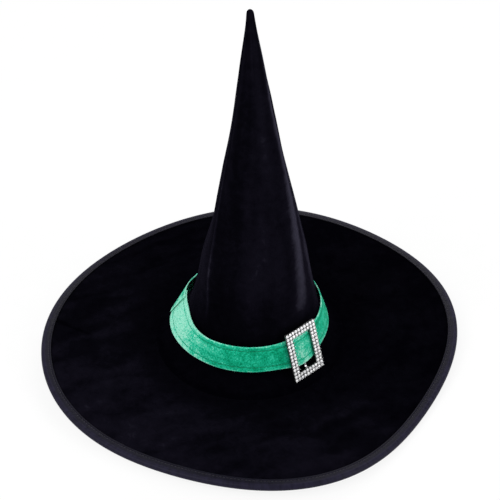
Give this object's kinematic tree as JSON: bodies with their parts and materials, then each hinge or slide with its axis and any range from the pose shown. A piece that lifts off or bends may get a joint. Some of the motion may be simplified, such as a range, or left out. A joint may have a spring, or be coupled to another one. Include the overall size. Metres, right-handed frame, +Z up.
{
  "type": "witch hat",
  "caption": "Pointed cone hat with a wide wired brim, a loose velvet band that lifts off, and a rhinestone slide buckle that travels along the band.",
  "frame": {"origin": "centre of the head opening, level with the seam between crown and brim", "axes": "+Z up along the crown, -Y the wearer's front, +X to the right of someone looking at the front"},
  "size_m": [0.4225, 0.4236, 0.3831],
  "materials": {
    "black_velvet": "velvet pile",
    "interlining": "stiff woven",
    "lining_cloth": "smooth lining cloth",
    "satin_binding": "satin ribbon",
    "ribbon": "ribbed ribbon",
    "spring_steel": "drawn wire",
    "green_velvet": "velvet pile",
    "green_thread": "sewing thread",
    "silver_plate": "bright plate",
    "rhinestone": "faceted"
  },
  "bodies": {
    "hat": {"crown_velvet": "black_velvet", "crown_interlining": "interlining", "crown_lining": "lining_cloth", "crown_back_seam_allowances": "black_velvet", "brim_top_velvet": "black_velvet", "brim_stiffener": "interlining", "brim_underside": "black_velvet", "brim_binding": "satin_binding", "brim_wire": "spring_steel", "wire_ferrule": "spring_steel", "sweatband": "ribbon", "opening_tape": "ribbon"},
    "hatband": {"hatband_strip": "green_velvet", "hatband_backing": "interlining", "hatband_tack_stitches": "green_thread"},
    "buckle": {"buckle_frame": "silver_plate", "buckle_centre_bar": "silver_plate", "setting_prongs": "silver_plate", "rhinestones_outer_row": "rhinestone", "rhinestones_inner_row": "rhinestone"}
  },
  "joints": [
    {"name": "hatband_lift", "type": "slide", "parent": "hat", "child": "hatband", "axis": [0, 0, 1], "range_m": [0, 0.36]},
    {"name": "buckle_slide", "type": "hinge", "parent": "hatband", "child": "buckle", "pos_m": [0.0003, 0, 0.03], "axis": [0, 0, 1], "range_deg": [-47, 170]}
  ]
}
